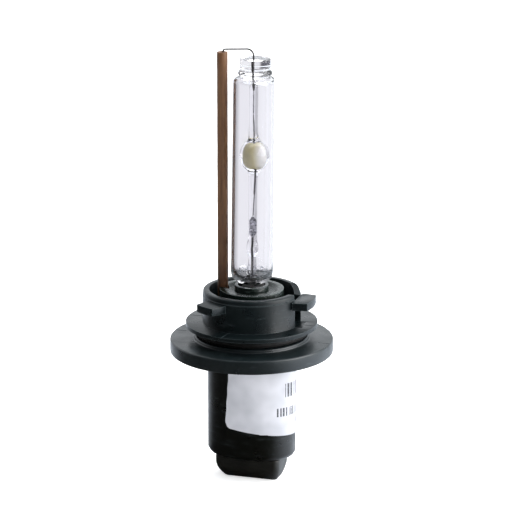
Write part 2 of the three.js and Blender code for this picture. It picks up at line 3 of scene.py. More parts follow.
import bmesh
import bpy
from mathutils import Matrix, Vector


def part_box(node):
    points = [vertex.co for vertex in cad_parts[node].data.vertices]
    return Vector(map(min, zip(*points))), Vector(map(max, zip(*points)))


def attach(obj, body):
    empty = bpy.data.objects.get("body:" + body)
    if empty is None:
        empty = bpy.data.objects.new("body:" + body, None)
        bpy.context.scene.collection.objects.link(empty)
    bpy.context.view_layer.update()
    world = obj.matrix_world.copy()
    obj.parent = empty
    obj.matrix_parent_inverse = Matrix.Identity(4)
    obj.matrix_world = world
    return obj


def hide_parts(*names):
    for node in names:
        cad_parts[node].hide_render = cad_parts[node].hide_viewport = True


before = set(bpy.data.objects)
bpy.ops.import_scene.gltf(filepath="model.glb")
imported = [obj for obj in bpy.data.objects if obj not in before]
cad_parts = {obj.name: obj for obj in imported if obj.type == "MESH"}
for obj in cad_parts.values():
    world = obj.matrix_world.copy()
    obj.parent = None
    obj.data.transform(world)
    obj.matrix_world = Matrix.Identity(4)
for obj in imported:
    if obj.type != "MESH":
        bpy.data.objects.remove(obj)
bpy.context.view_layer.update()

bpy.ops.object.select_all(action="DESELECT")


# ---- Camera ---------------------------------------------------------------------------------
# A long lens a little above the bulb, looking down on its flange, with the return tube on the
# left. The bulb stands slightly left of the middle of the frame.
mm = 0.001
view_turn = math.radians(17.0)
view_tilt = math.radians(15.73)
view_reach = 600 * mm
view_height = 220.6 * mm
aim_right = 0.00125
bpy.ops.object.camera_add(
    location=(view_reach * math.sin(view_turn), -view_reach * math.cos(view_turn), view_height),
    rotation=(math.pi / 2 - view_tilt, 0, view_turn - aim_right),
)
camera = bpy.context.active_object
camera.data.sensor_width = 36
camera.data.lens = 197.9
camera.data.clip_start = 0.05
bpy.context.scene.camera = camera
bpy.context.scene.view_settings.view_transform = "Standard"


# ---- Studio: floor, surround and lamps ------------------------------------------------------
# A floor that is plain and pale in view, under a surround that is bright behind and to the right
# of the bulb and dark in front and to the left. The floor shows other shades to mirrored rays and
# to rays through glass, in place of a real lit backdrop and black card.
def add_node(tree, kind, sockets=(), **settings):
    made = tree.nodes.new(kind)
    for key, value in settings.items():
        setattr(made, key, value)
    for key, value in dict(sockets).items():
        if isinstance(value, bpy.types.NodeSocket):
            tree.links.new(value, made.inputs[key])
        else:
            made.inputs[key].default_value = value
    return made


def calculate(tree, operation, *values, clamp=False):
    return add_node(
        tree, "ShaderNodeMath", dict(enumerate(values)), operation=operation, use_clamp=clamp
    ).outputs[0]


bpy.ops.mesh.primitive_plane_add(size=8, location=(0, 0, 0))
floor = bpy.context.active_object
floor.name = "studio_floor"
floor_look = bpy.data.materials.new("pale_floor")
floor_look.use_nodes = True
tree = floor_look.node_tree
shader = tree.nodes["Principled BSDF"]
shader.inputs["Roughness"].default_value = 1
shader.inputs["Specular IOR Level"].default_value = 0
ray = add_node(tree, "ShaderNodeLightPath").outputs
place = add_node(tree, "ShaderNodeTexCoord").outputs["Object"]
bearing = add_node(tree, "ShaderNodeVectorMath", {0: place}, operation="NORMALIZE").outputs[0]
turned_to_view = add_node(tree, "ShaderNodeVectorRotate", {
    "Vector": bearing, "Angle": -view_turn,
}, rotation_type="Z_AXIS").outputs[0]
to_right, to_back = add_node(tree, "ShaderNodeSeparateXYZ", {0: turned_to_view}).outputs[:2]
# To mirrored rays the floor is bright behind the bulb and on its right, and nearly black elsewhere
lit_right = calculate(tree, "MULTIPLY_ADD", to_right, 2.6, -1.3, clamp=True)
lit_back = calculate(tree, "MULTIPLY_ADD", to_back, 1.4, -0.4, clamp=True)
lit = calculate(tree, "MAXIMUM", lit_right, lit_back)
mirrored = add_node(tree, "ShaderNodeMixRGB", {
    0: lit, 1: (0.03, 0.03, 0.03, 1), 2: (0.76, 0.82, 0.9, 1),
}).outputs[0]
seen = add_node(tree, "ShaderNodeMixRGB", {
    0: ray["Is Glossy Ray"], 1: (0.93, 0.93, 0.93, 1), 2: mirrored,
}).outputs[0]
# To rays through glass the floor is an even grey, but for a dark sector at the back left that
# stands for the card. It draws the dark line down the envelope's left edge, and shows less
# through the burner's inner parts.
left_enough = calculate(tree, "MULTIPLY_ADD", to_right, -8.0, -1.2, clamp=True)
back_enough = calculate(tree, "MULTIPLY_ADD", to_back, 7.0, -3.0, clamp=True)
card = calculate(tree, "MULTIPLY", left_enough, back_enough)
through_wall_only = calculate(tree, "LESS_THAN", ray["Transmission Depth"], 3.5)
card_shows = calculate(tree, "MULTIPLY_ADD", through_wall_only, 0.55, 0.45)
through_glass = add_node(tree, "ShaderNodeMixRGB", {
    0: calculate(tree, "MULTIPLY", card, card_shows),
    1: (0.215, 0.215, 0.221, 1), 2: (0.01, 0.007, 0.011, 1),
}).outputs[0]
floor_shade = add_node(tree, "ShaderNodeMixRGB", {
    0: ray["Is Transmission Ray"], 1: seen, 2: through_glass,
}).outputs[0]
# A glow of its own keeps the floor white in view, and even through the glass from every side
glow_colour = add_node(tree, "ShaderNodeMixRGB", {
    0: ray["Is Transmission Ray"], 1: (1, 1, 1, 1), 2: through_glass,
}).outputs[0]
glow = calculate(tree, "MULTIPLY", ray["Is Camera Ray"], 0.5)
glow = calculate(tree, "MULTIPLY_ADD", ray["Is Transmission Ray"], 2.0, glow)
tree.links.new(floor_shade, shader.inputs["Base Color"])
tree.links.new(glow_colour, shader.inputs["Emission Color"])
tree.links.new(glow, shader.inputs["Emission Strength"])
floor.data.materials.append(floor_look)

surround = bpy.data.worlds.new("studio_surround")
bpy.context.scene.world = surround
surround.use_nodes = True
tree = surround.node_tree
direction = add_node(tree, "ShaderNodeTexCoord").outputs["Generated"]
turned_to_view = add_node(tree, "ShaderNodeVectorRotate", {
    "Vector": direction, "Angle": -view_turn,
}, rotation_type="Z_AXIS").outputs[0]
to_right, to_back, to_top = add_node(tree, "ShaderNodeSeparateXYZ", {0: turned_to_view}).outputs
# Brightness rises from the front left to the back and the right
lean_back = calculate(tree, "MULTIPLY_ADD", to_back, 1.3, 0.25, clamp=True)
lean_right = calculate(tree, "MULTIPLY_ADD", to_right, 1.6, -0.35, clamp=True)
lean_top = calculate(tree, "MULTIPLY_ADD", to_top, 0.6, -0.2, clamp=True)
brightness = calculate(tree, "MAXIMUM", lean_back, lean_right)
brightness = calculate(tree, "MAXIMUM", brightness, lean_top)
brightness = calculate(tree, "MULTIPLY_ADD", brightness, 1.15, 0.03)
tree.links.new(brightness, tree.nodes["Background"].inputs["Strength"])
tree.nodes["Background"].inputs["Color"].default_value = (0.92, 0.96, 1.0, 1)


def add_lamp(name, place, size, power):
    bpy.ops.object.light_add(type="AREA", location=place)
    lamp = bpy.context.active_object
    lamp.name = name
    lamp.data.size = size
    lamp.data.energy = power
    middle_of_bulb = Vector((0, 0, 0.05))
    lamp.rotation_euler = (middle_of_bulb - lamp.location).to_track_quat("-Z", "Y").to_euler()
    return lamp


# Only the right softbox is mirrored; the other two lamps light the bulb without a highlight
overhead = add_lamp("overhead_softbox", (0.1, 0.5, 1.3), 1.4, 26)
overhead.visible_glossy = False
add_lamp("right_softbox", (0.75, 0.0, 0.4), 0.8, 9.5)
fill = add_lamp("front_right_fill", (0.65, -0.6, 0.35), 0.4, 1.5)
fill.visible_glossy = False


# ---- Rear housing ---------------------------------------------------------------------------
# The bulb's main moulding: an oval barrel under a big round flange, in black glass-filled
# plastic. It is one injection moulding, hollow inside, with a fine parting line on the flange.
def work_on(piece):
    bpy.ops.object.select_all(action="DESELECT")
    bpy.context.view_layer.objects.active = piece
    piece.select_set(True)


def start_ring(outline, sides, filled):
    """Adds the first ring of a turned piece, in edit mode, at the outline's first point."""
    radius, height = outline[0]
    bpy.ops.object.select_all(action="DESELECT")
    bpy.ops.mesh.primitive_circle_add(
        vertices=sides,
        radius=radius * mm,
        location=(0, 0, height * mm),
        fill_type="NGON" if filled else "NOTHING",
    )
    bpy.ops.object.transform_apply(location=True, rotation=True, scale=True)
    bpy.ops.object.mode_set(mode="EDIT")
    bpy.ops.mesh.select_mode(type="VERT")
    bpy.ops.mesh.select_all(action="SELECT")


def draw_ring_along(outline):
    """Extrudes the selected ring from point to point of an outline of (radius, height)."""
    for (last_radius, last_height), (radius, height) in zip(outline, outline[1:]):
        bpy.ops.mesh.extrude_region_move(
            TRANSFORM_OT_translate={"value": (0, 0, (height - last_height) * mm)}
        )
        grow = radius / last_radius
        bpy.ops.transform.resize(value=(grow, grow, 1), center_override=(0, 0, 0))


def finish_mesh():
    """Merges doubles, turns every face outwards and leaves edit mode."""
    bpy.ops.mesh.select_all(action="SELECT")
    bpy.ops.mesh.remove_doubles(threshold=0.0005 * mm)
    bpy.ops.mesh.normals_make_consistent(inside=False)
    bpy.ops.object.mode_set(mode="OBJECT")
    return bpy.context.active_object


def turned_solid(outline, sides):
    start_ring(outline, sides, filled=True)
    draw_ring_along(outline)
    return finish_mesh()


def turned_ring(outline, sides):
    start_ring(outline, sides, filled=False)
    draw_ring_along([*outline, outline[0]])
    return finish_mesh()


def block(low, high, turn=0.0):
    """A block between two corners, in mm, turned in degrees about the bulb's axis."""
    bpy.ops.object.select_all(action="DESELECT")
    middle = [(a + b) / 2 * mm for a, b in zip(low, high)]
    bpy.ops.mesh.primitive_cube_add(size=1, location=middle)
    made = bpy.context.active_object
    made.scale = [(b - a) * mm for a, b in zip(low, high)]
    bpy.ops.object.transform_apply(location=True, rotation=True, scale=True)
    made.rotation_euler.z = math.radians(turn)
    bpy.ops.object.transform_apply(location=True, rotation=True, scale=True)
    return made


def join_or_cut(piece, tool, operation):
    modifier = piece.modifiers.new("cut", "BOOLEAN")
    modifier.object = tool
    modifier.operation = operation
    modifier.solver = "EXACT"
    work_on(piece)
    bpy.ops.object.modifier_apply(modifier=modifier.name)
    bpy.data.objects.remove(tool)


def round_edges(piece, width, segments=2, angle=35):
    """Rounds the edges that are sharper than the angle."""
    work_on(piece)
    modifier = piece.modifiers.new("round_edges", "BEVEL")
    modifier.width = width * mm
    modifier.segments = segments
    modifier.limit_method = "ANGLE"
    modifier.angle_limit = math.radians(angle)
    bpy.ops.object.modifier_apply(modifier=modifier.name)


def smooth(piece, angle=35):
    work_on(piece)
    bpy.ops.object.shade_smooth_by_angle(angle=math.radians(angle))


def squash_to_oval(piece, ratio):
    work_on(piece)
    bpy.ops.object.mode_set(mode="EDIT")
    bpy.ops.mesh.select_all(action="SELECT")
    bpy.ops.transform.resize(value=(1, ratio, 1), center_override=(0, 0, 0))
    bpy.ops.object.mode_set(mode="OBJECT")


def score_line(piece, from_x, to_x, height, turn=0.0):
    """A fine parting line, cut across a flat top along a radius."""
    near, far = sorted((from_x, to_x))
    low, high = (near, -line_half, height - line_depth), (far, line_half, height + 0.1)
    join_or_cut(piece, block(low, high, turn), "DIFFERENCE")


housing_low, housing_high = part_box("rear_housing")
flange_radius = housing_high[0] / mm
barrel_foot = housing_low[2] / mm
plinth_top = housing_high[2] / mm
flange_top = plinth_top - 0.85
flange_under = flange_top - 3.15
barrel_long, barrel_short, barrel_wall = 10.15, 6.9, 1.5
plinth_radius, spigot_bore = 12.9, 8.6
line_half, line_depth = 0.11, 0.09

housing = turned_solid([
    (spigot_bore + 0.4, flange_under),
    (flange_radius, flange_under),
    (flange_radius, flange_top),
    (plinth_radius, flange_top),
    (plinth_radius, plinth_top),
    (spigot_bore + 0.4, plinth_top),
], 160)
round_edges(housing, 0.35, 3)
barrel = turned_solid([
    (barrel_long - 1.2, barrel_foot),
    (barrel_long - 0.75, barrel_foot + 0.12),
    (barrel_long - 0.45, barrel_foot + 0.4),
    (barrel_long, barrel_foot + 1.2),
    (barrel_long, flange_under + 1),
], 160)
squash_to_oval(barrel, barrel_short / barrel_long)
join_or_cut(housing, barrel, "UNION")
cavity_long, cavity_short = barrel_long - barrel_wall, barrel_short - barrel_wall
cavity = turned_solid([(cavity_long, barrel_foot + 2.5), (cavity_long, flange_under + 1)], 96)
squash_to_oval(cavity, cavity_short / cavity_long)
join_or_cut(housing, cavity, "DIFFERENCE")
recess = turned_solid([(spigot_bore, flange_under + 0.05), (spigot_bore, plinth_top + 1)], 96)
join_or_cut(housing, recess, "DIFFERENCE")
join_or_cut(
    housing, block((-5.3, -3.3, barrel_foot - 1), (5.3, 3.3, barrel_foot + 3)), "DIFFERENCE"
)
for side in (-1, 1):
    score_line(housing, side * 15.35, side * (flange_radius + 0.5), flange_top)
smooth(housing)
housing.name = "housing_shell"


def new_group(name, inputs, outputs):
    """An empty shader node group with named inputs (with their defaults) and outputs."""
    group = bpy.data.node_groups.new(name, "ShaderNodeTree")
    for label, kind, value in inputs:
        socket = group.interface.new_socket(label, in_out="INPUT", socket_type=kind)
        if value is not None:
            socket.default_value = value
    for label, kind in outputs:
        group.interface.new_socket(label, in_out="OUTPUT", socket_type=kind)
    return group, group.nodes.new("NodeGroupInput"), group.nodes.new("NodeGroupOutput")


def noise(tree, place, scale, detail=3.0, roughness=0.55):
    return add_node(tree, "ShaderNodeTexNoise", {
        "Vector": place, "Scale": scale, "Detail": detail, "Roughness": roughness,
    }).outputs[0]


def spread(tree, value, low, high, to_low=0.0, to_high=1.0):
    return add_node(tree, "ShaderNodeMapRange", {
        "Value": value, "From Min": low, "From Max": high, "To Min": to_low, "To Max": to_high,
    }).outputs[0]


# Moulded grain: the fine pits of a spark-eroded mould over slow swells and flow marks
grain, given, made = new_group(
    "moulded_grain",
    [("Place", "NodeSocketVector", None), ("Pits per mm", "NodeSocketFloat", 6.0)],
    [("Height", "NodeSocketFloat"), ("Tone", "NodeSocketFloat"), ("Scuffs", "NodeSocketFloat")],
)
pit_scale = calculate(grain, "MULTIPLY", given.outputs["Pits per mm"], 1 / mm)
pits = noise(grain, given.outputs["Place"], pit_scale, 3.0, 0.6)
swells = noise(grain, given.outputs["Place"], 260.0, 4.0)
drawn_out = add_node(grain, "ShaderNodeMapping", {
    "Vector": given.outputs["Place"], "Scale": (1.0, 1.0, 6.0),
}).outputs[0]
scuffs = spread(grain, noise(grain, drawn_out, 180.0, 6.0, 0.7), 0.56, 0.74)
grain.links.new(calculate(grain, "MULTIPLY_ADD", pits, 0.4, swells), made.inputs["Height"])
grain.links.new(swells, made.inputs["Tone"])
grain.links.new(scuffs, made.inputs["Scuffs"])

# Edge wear: where a rounded normal turns away from the true one, a corner has been rubbed
wear, given, made = new_group(
    "edge_wear",
    [("Radius mm", "NodeSocketFloat", 0.25), ("Breakup", "NodeSocketFloat", 0.5)],
    [("Worn", "NodeSocketFloat")],
)
rounded = add_node(wear, "ShaderNodeBevel", {
    "Radius": calculate(wear, "MULTIPLY", given.outputs["Radius mm"], mm),
}, samples=4)
true_normal = add_node(wear, "ShaderNodeNewGeometry").outputs["Normal"]
agreement = add_node(wear, "ShaderNodeVectorMath", {
    0: rounded.outputs[0], 1: true_normal,
}, operation="DOT_PRODUCT").outputs["Value"]
turned_away = calculate(wear, "SUBTRACT", 1.0, agreement)
edge = calculate(wear, "MULTIPLY", turned_away, 9.0, clamp=True)
wear.links.new(calculate(wear, "MULTIPLY", edge, given.outputs["Breakup"]), made.inputs["Worn"])


def use_group(tree, group, sockets):
    made = add_node(tree, "ShaderNodeGroup", node_tree=group)
    for key, value in sockets.items():
        if isinstance(value, bpy.types.NodeSocket):
            tree.links.new(value, made.inputs[key])
        else:
            made.inputs[key].default_value = value
    return made


def mix_colours(tree, factor, first, second):
    return add_node(tree, "ShaderNodeMixRGB", {0: factor, 1: first, 2: second}).outputs[0]


def new_look(name):
    look = bpy.data.materials.new(name)
    look.use_nodes = True
    tree = look.node_tree
    place = add_node(tree, "ShaderNodeTexCoord").outputs["Object"]
    return look, tree, tree.nodes["Principled BSDF"], place


def feed(tree, shader, **values):
    """Links or sets the shader's sockets; an underscore in a key stands for a space."""
    for key, value in values.items():
        socket = shader.inputs[key.replace("_", " ")]
        if isinstance(value, bpy.types.NodeSocket):
            tree.links.new(value, socket)
        else:
            socket.default_value = value


def bumped(tree, height, depth, strength=0.35):
    return add_node(tree, "ShaderNodeBump", {
        "Height": height, "Strength": strength, "Distance": depth * mm,
    }).outputs[0]


def moulded_plastic(
    name, colour, pale, roughness, pits_per_mm, depth, under_flange_shade=None, specular=0.5
):
    """Filled plastic: fine pits, slow tone shifts, pale scuffs and rubbed corners. It may be given
    a darker painted shade below the flange, where the flange shades the barrel."""
    look, tree, shader, place = new_look(name)
    texture = use_group(tree, grain, {"Place": place, "Pits per mm": pits_per_mm})
    tone = texture.outputs["Tone"]
    rubbed = use_group(tree, wear, {"Radius mm": 0.3, "Breakup": tone}).outputs["Worn"]
    marks = calculate(tree, "MULTIPLY", texture.outputs["Scuffs"], 0.3)
    shade = mix_colours(tree, tone, (*colour, 1), (*[channel * 1.7 for channel in colour], 1))
    if under_flange_shade:
        # Below the flange the colour turns darker and warmer: a painted shade under the flange
        height = add_node(tree, "ShaderNodeSeparateXYZ", {0: place}).outputs[2]
        below = spread(tree, height, (flange_under + 0.4) * mm, flange_under * mm)
        shade = mix_colours(tree, below, shade, (*under_flange_shade, 1))
    feed(
        tree, shader,
        Base_Color=mix_colours(tree, calculate(tree, "MAXIMUM", marks, rubbed), shade, (*pale, 1)),
        Roughness=spread(tree, tone, 0.3, 0.7, roughness - 0.06, roughness + 0.08),
        Normal=bumped(tree, texture.outputs["Height"], depth),
        Specular_IOR_Level=specular,
    )
    return look


def dress(piece, look):
    piece.data.materials.clear()
    piece.data.materials.append(look)


# The housing's barrel gets a darker, warmer painted shade below the flange
black_plastic = moulded_plastic(
    "black_moulding", (0.0036, 0.0062, 0.007), (0.07, 0.092, 0.1), 0.32, 4.0, 0.1,
    under_flange_shade=(0.0018, 0.002, 0.0008), specular=0.56,
)
dress(housing, black_plastic)
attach(housing, "root")
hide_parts("rear_housing")


# ---- Cable gland ----------------------------------------------------------------------------
# The plug that closes the barrel's foot, with two outlets for the supply wires. A softer black
# plastic, pushed in from behind; its sides stand straight and then curve in to a small flat end.
def pick(piece, kind, test):
    """Selects the piece's verts, edges or faces whose middle passes the test, in edit mode."""
    bpy.ops.mesh.select_mode(type=kind)
    bpy.ops.mesh.select_all(action="DESELECT")
    mesh = bmesh.from_edit_mesh(piece.data)
    members = {"VERT": mesh.verts, "EDGE": mesh.edges, "FACE": mesh.faces}[kind]
    for member in members:
        if kind == "VERT":
            middle = member.co
        elif kind == "EDGE":
            middle = (member.verts[0].co + member.verts[1].co) / 2
        else:
            middle = member.calc_center_median()
        member.select = bool(test(middle / mm, member))
    mesh.select_flush_mode()
    bmesh.update_edit_mesh(piece.data)


gland_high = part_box("cable_gland")[1]
gland_long, gland_short = gland_high[0] / mm, gland_high[1] / mm
shoulder = barrel_foot - 1.7
foot_scale = (6.1 / gland_long, 2.7 / gland_short)
foot_shift = 0.5
curve_steps = 6
outlet_radius, outlet_x = 1.05, 2.8

gland = block((-gland_long, -gland_short, shoulder), (gland_long, gland_short, barrel_foot - 0.1))
bpy.ops.object.mode_set(mode="EDIT")
pick(gland, "EDGE", lambda at, edge: abs(edge.verts[0].co.z - edge.verts[1].co.z) > mm)
bpy.ops.mesh.bevel(offset=1.4 * mm, segments=6, affect="EDGES")
pick(gland, "FACE", lambda at, face: face.normal.z < -0.9)
last = (1.0, 1.0, 0.0)
for step in range(1, curve_steps + 1):
    share = step / curve_steps
    curve = share ** 1.8
    now = (1 - (1 - foot_scale[0]) * curve, 1 - (1 - foot_scale[1]) * curve, foot_shift * curve)
    bpy.ops.mesh.extrude_region_move(
        TRANSFORM_OT_translate={"value": (0, 0, -shoulder / curve_steps * mm)}
    )
    bpy.ops.transform.resize(
        value=(now[0] / last[0], now[1] / last[1], 1), center_override=(last[2] * mm, 0, 0)
    )
    bpy.ops.transform.translate(value=((now[2] - last[2]) * mm, 0, 0))
    last = now
bpy.ops.object.mode_set(mode="OBJECT")
round_edges(gland, 0.3, 3, angle=40)
spigot = block((-5, -3, barrel_foot - 0.5), (5, 3, gland_high[2] / mm))
join_or_cut(gland, spigot, "UNION")
for side in (-1, 1):
    outlet = turned_solid([(outlet_radius, -1), (outlet_radius, 12)], 32)
    work_on(outlet)
    bpy.ops.transform.translate(value=(side * outlet_x * mm, 0, 0))
    bpy.ops.object.transform_apply(location=True, rotation=True, scale=True)
    join_or_cut(gland, outlet, "DIFFERENCE")
smooth(gland)
gland.name = "cable_gland_plug"
dress(gland, moulded_plastic(
    "gland_moulding", (0.006, 0.0058, 0.0042), (0.06, 0.056, 0.046), 0.42, 4.0, 0.04
))
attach(gland, "root")
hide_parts("cable_gland")


# ---- Label ----------------------------------------------------------------------------------
# A white film label stuck round the front and right of the barrel, up to the flange, with one
# rounded corner. It carries only rows of plain bars, where a rating would be printed.
label_lift, label_thick = 0.06, 0.09
label_top = flange_under - 0.25
left_top, left_foot = -3.1, -4.3
corner = 2.0
foot_at_left, foot_at_right = barrel_foot + 7.6, barrel_foot + 5.8
back_edge = 3.5
slope = math.atan2(foot_at_left - foot_at_right, barrel_long - left_foot)
lean = math.atan2(left_top - left_foot, label_top - foot_at_left)

start_ring([(barrel_long + label_lift, barrel_foot + 3)], 256, filled=False)
draw_ring_along([
    (barrel_long + label_lift, barrel_foot + 3 + (label_top - barrel_foot - 3) * step / 12)
    for step in range(13)
])
label = finish_mesh()
squash_to_oval(label, (barrel_short + label_lift) / (barrel_long + label_lift))


def trim(piece, at, outward, keep=None):
    """Cuts away what lies beyond a plane, on the side that outward points to."""
    bpy.ops.mesh.select_mode(type="FACE")
    if keep is None:
        bpy.ops.mesh.select_all(action="SELECT")
    else:
        pick(piece, "FACE", keep)
    bpy.ops.mesh.bisect(
        plane_co=[value * mm for value in at], plane_no=outward, clear_outer=True, use_fill=False
    )


bpy.ops.object.mode_set(mode="EDIT")
trim(label, (back_edge, 0, 0), (-1, 0, 0), keep=lambda at, face: at.y > 0)
left_side = (-math.cos(lean), 0, math.sin(lean))
trim(label, (left_foot, 0, foot_at_left), left_side, keep=lambda at, face: at.y < 0)
foot_side = (-math.sin(slope), 0, -math.cos(slope))
trim(label, (left_foot, 0, foot_at_left), foot_side)
turn_centre = (left_foot + corner * 1.05, 0, foot_at_left + corner * 0.8)
for step in range(1, 8):
    angle = math.radians(90 * step / 8) - lean
    away = (-math.cos(angle), 0, -math.sin(angle))
    edge_at = [turn_centre[0] + corner * away[0], 0, turn_centre[2] + corner * away[2]]
    trim(label, edge_at, away, keep=lambda at, face: at.y < 0)
bpy.ops.mesh.select_all(action="SELECT")
bpy.ops.mesh.normals_make_consistent(inside=False)
bpy.ops.object.mode_set(mode="OBJECT")
modifier = label.modifiers.new("film", "SOLIDIFY")
modifier.thickness = label_thick * mm
modifier.offset = 1
work_on(label)
bpy.ops.object.modifier_apply(modifier=modifier.name)
smooth(label)
label.name = "barrel_label"

label_look, tree, shader, place = new_look("label_film")
axes = add_node(tree, "ShaderNodeSeparateXYZ", {0: place}).outputs
forward = calculate(tree, "DIVIDE", axes[1], -barrel_short)
sideways = calculate(tree, "DIVIDE", axes[0], barrel_long)
round_barrel = calculate(tree, "ARCTAN2", forward, sideways)


def printed_row(low, high, starts, cells):
    """Ink in one row of upright bars of uneven width, from an angle on round to the back."""
    above = calculate(tree, "GREATER_THAN", axes[2], low * mm)
    below = calculate(tree, "LESS_THAN", axes[2], high * mm)
    after = calculate(tree, "LESS_THAN", round_barrel, math.radians(starts))
    before = calculate(tree, "GREATER_THAN", round_barrel, math.radians(-70))
    along = calculate(tree, "MULTIPLY", round_barrel, cells)
    cell = calculate(tree, "FLOOR", along)
    chance = add_node(
        tree, "ShaderNodeTexWhiteNoise", {"W": cell}, noise_dimensions="1D"
    ).outputs[0]
    width = calculate(tree, "MULTIPLY_ADD", chance, 0.5, 0.2)
    bars = calculate(tree, "LESS_THAN", calculate(tree, "FRACT", along), width)
    ink = calculate(tree, "MULTIPLY", calculate(tree, "MULTIPLY", above, below), bars)
    return calculate(tree, "MULTIPLY", ink, calculate(tree, "MULTIPLY", after, before))


rows = [
    printed_row(flange_under - 9.2, flange_under - 6.0, 32, 8),
    printed_row(flange_under - 13.6, flange_under - 11.6, 46, 11),
    printed_row(flange_under - 15.7, flange_under - 14.6, 6, 14),
]
ink = calculate(tree, "MAXIMUM", rows[0], calculate(tree, "MAXIMUM", rows[1], rows[2]))
fibres = noise(tree, place, 2500.0, 4.0)
creases = noise(tree, place, 140.0, 2.0)
# The paper's tone follows the crease bumps: painted shading of the creases
paper_with_crease_shade = mix_colours(
    tree, spread(tree, creases, 0.35, 0.65), (0.42, 0.43, 0.47, 1), (0.56, 0.565, 0.61, 1)
)
worn_ink = calculate(tree, "MULTIPLY", ink, spread(tree, fibres, 0.3, 0.5, 0.6, 0.95))
feed(
    tree, shader,
    Base_Color=mix_colours(tree, worn_ink, paper_with_crease_shade, (0.035, 0.035, 0.045, 1)),
    Roughness=spread(tree, fibres, 0.3, 0.7, 0.38, 0.5),
    Normal=bumped(tree, calculate(tree, "MULTIPLY_ADD", fibres, 0.05, creases), 0.25, 0.3),
)
dress(label, label_look)
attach(label, "root")
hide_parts("housing_label")


# ---- Potting and crimps ---------------------------------------------------------------------
# Inside the barrel the two lamp wires are crimped in tinned brass ferrules and cast in grey
# silicone. They are the frame's own pieces, with their real finishes.
potting_look, tree, shader, place = new_look("grey_silicone")
bubbles = noise(tree, place, 900.0, 4.0)
feed(
    tree, shader,
    Base_Color=mix_colours(tree, bubbles, (0.13, 0.12, 0.1, 1), (0.2, 0.19, 0.17, 1)),
    Roughness=spread(tree, bubbles, 0.3, 0.7, 0.6, 0.8),
    Normal=bumped(tree, bubbles, 0.05),
)
dress(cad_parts["insulating_potting"], potting_look)


def metal(name, dark, light, roughness, streaks=(1.0, 1.0, 0.1), scale=2500.0, depth=0.01):
    """Drawn or rolled metal: fine streaks along the wire, in tone, gloss and height."""
    look, tree, shader, place = new_look(name)
    along = add_node(tree, "ShaderNodeMapping", {"Vector": place, "Scale": streaks}).outputs[0]
    lines = noise(tree, along, scale, 5.0, 0.65)
    feed(
        tree, shader,
        Base_Color=mix_colours(tree, spread(tree, lines, 0.35, 0.65), (*dark, 1), (*light, 1)),
        Metallic=1.0,
        Roughness=spread(tree, lines, 0.3, 0.7, roughness - 0.08, roughness + 0.1),
        Normal=bumped(tree, lines, depth, 0.5),
    )
    return look


tinned_brass = metal("tinned_brass", (0.42, 0.35, 0.2), (0.62, 0.58, 0.48), 0.35)
for node in ("lamp_crimp", "return_crimp"):
    dress(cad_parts[node], tinned_brass)


# ---- Front collar ---------------------------------------------------------------------------
# The bayonet end, in the same black plastic: spigot, groove core, thin upper disc and collar
# wall, with three lugs that lock behind the lamp's tabs. It snaps into the housing's flange.
collar_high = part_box("front_collar")[1]
rim = collar_high[2] / mm
disc_radius = 14.75
disc_top = rim - 7.45
disc_under = rim - 8.35
core_under = plinth_top + 0.3
spigot_under = rim - 14.1
wall_outer, wall_inner = 11.0, 9.5
lug_under, lug_top, lug_reach = rim - 3.1, rim - 1.4, 14.4

collar = turned_ring([
    (0.8, spigot_under),
    (8.3, spigot_under),
    (8.3, core_under),
    (wall_outer, core_under),
    (wall_outer, disc_under),
    (disc_radius, disc_under),
    (disc_radius, disc_top),
    (wall_outer, disc_top),
    (wall_outer, rim - 1.1),
    (wall_outer - 0.15, rim - 1.0),
    (wall_outer - 0.15, rim - 0.32),
    (wall_outer - 0.25, rim - 0.12),
    (wall_outer - 0.45, rim),
    (wall_inner, rim),
    (wall_inner, disc_top),
    (4.5, disc_top),
    (4.5, disc_top - 2.35),
    (0.8, disc_top - 2.35),
], 160)
slot_half = 2.35
join_or_cut(
    collar,
    block((wall_inner - 1, -slot_half, disc_top - 0.1), (wall_outer + 1, slot_half, rim + 1)),
    "DIFFERENCE",
)


def add_lug(turn, half_root, half_tip):
    """A lug, wider at the wall than at its tip, with its end on the lugs' common circle."""
    lug = block((10.6, -half_root, lug_under), (15.4, half_root, lug_top))
    bpy.ops.object.mode_set(mode="EDIT")
    pick(lug, "FACE", lambda at, face: face.normal.x > 0.9)
    bpy.ops.transform.resize(value=(1, half_tip / half_root, 1), center_override=(0, 0, 0))
    bpy.ops.mesh.select_all(action="SELECT")
    bpy.ops.object.mode_set(mode="OBJECT")
    circle = turned_solid([(lug_reach, lug_under - 1), (lug_reach, lug_top + 1)], 160)
    join_or_cut(lug, circle, "INTERSECT")
    lug.rotation_euler.z = math.radians(turn)
    work_on(lug)
    bpy.ops.object.transform_apply(location=True, rotation=True, scale=True)
    join_or_cut(collar, lug, "UNION")


# The wide lug bridges the slot, and two narrow ones stand a third of a turn from it
add_lug(0, 4.2, 3.4)
add_lug(120, 2.95, 2.4)
add_lug(-120, 2.95, 2.4)
# Ribs inside the wall centre the holder
for turn, width in ((-90, 1.8), (90, 1.8), (-38, 0.8)):
    rib = block((7.48, -width / 2, disc_top - 0.2), (9.9, width / 2, rim - 0.8), turn)
    join_or_cut(collar, rib, "UNION")
